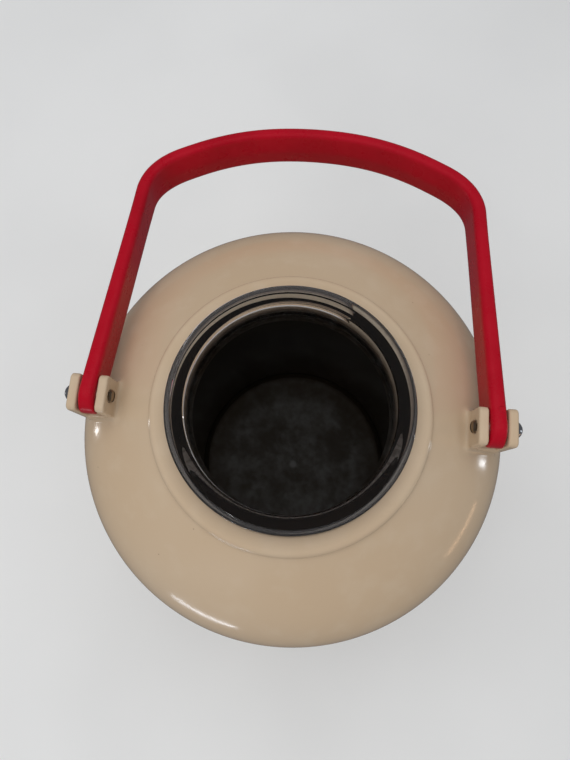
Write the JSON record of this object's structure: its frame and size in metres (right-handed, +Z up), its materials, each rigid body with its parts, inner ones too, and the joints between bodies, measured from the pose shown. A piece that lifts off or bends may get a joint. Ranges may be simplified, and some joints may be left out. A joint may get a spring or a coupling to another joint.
{
  "type": "insulated pump pot with a strap bail",
  "caption": "Round insulated pump pot body with a threaded open neck, a smoked inner vessel, a moulded shell and a swinging strap bail.",
  "frame": {"origin": "on the vessel's axis, in the plane that the foot ring stands on", "axes": "+Z up along the vessel's axis, out of the mouth; +Y to the back, where the bail lies; +X along the bail's pivot axis, to the right"},
  "size_m": [0.182, 0.2256, 0.266],
  "materials": {
    "shell_cream": "gloss",
    "base_beige": "satin",
    "screw_steel": "satin",
    "foot_rubber": "matte",
    "seal_pale": "satin",
    "vessel_smoke": "gloss",
    "foam_white": "matte",
    "bail_red": "gloss",
    "post_bright": "polished",
    "screw_dark": "satin",
    "washer_pale": "satin"
  },
  "bodies": {
    "pot": {"upper_shell": "shell_cream", "lower_shell": "shell_cream", "base_cover": "base_beige", "base_screws": "screw_steel", "foot_ring": "foot_rubber", "support_plug": "base_beige", "vessel_cushion": "seal_pale", "inner_vessel": "vessel_smoke", "neck_seal": "seal_pale", "upper_insulation": "foam_white", "lower_insulation": "foam_white", "pivot_post_left": "post_bright", "pivot_post_right": "post_bright", "pivot_screw_left": "screw_dark", "pivot_screw_right": "screw_dark", "washer_left_outer": "washer_pale", "washer_left_inner": "washer_pale", "washer_right_outer": "washer_pale", "washer_right_inner": "washer_pale"},
    "bail": {"bail_handle": "bail_red"}
  },
  "joints": [
    {"name": "bail_hinge", "type": "hinge", "parent": "pot", "child": "bail", "pos_m": [0, 0, 0.251], "axis": [1, 0, 0], "range_deg": [0, 202]}
  ]
}
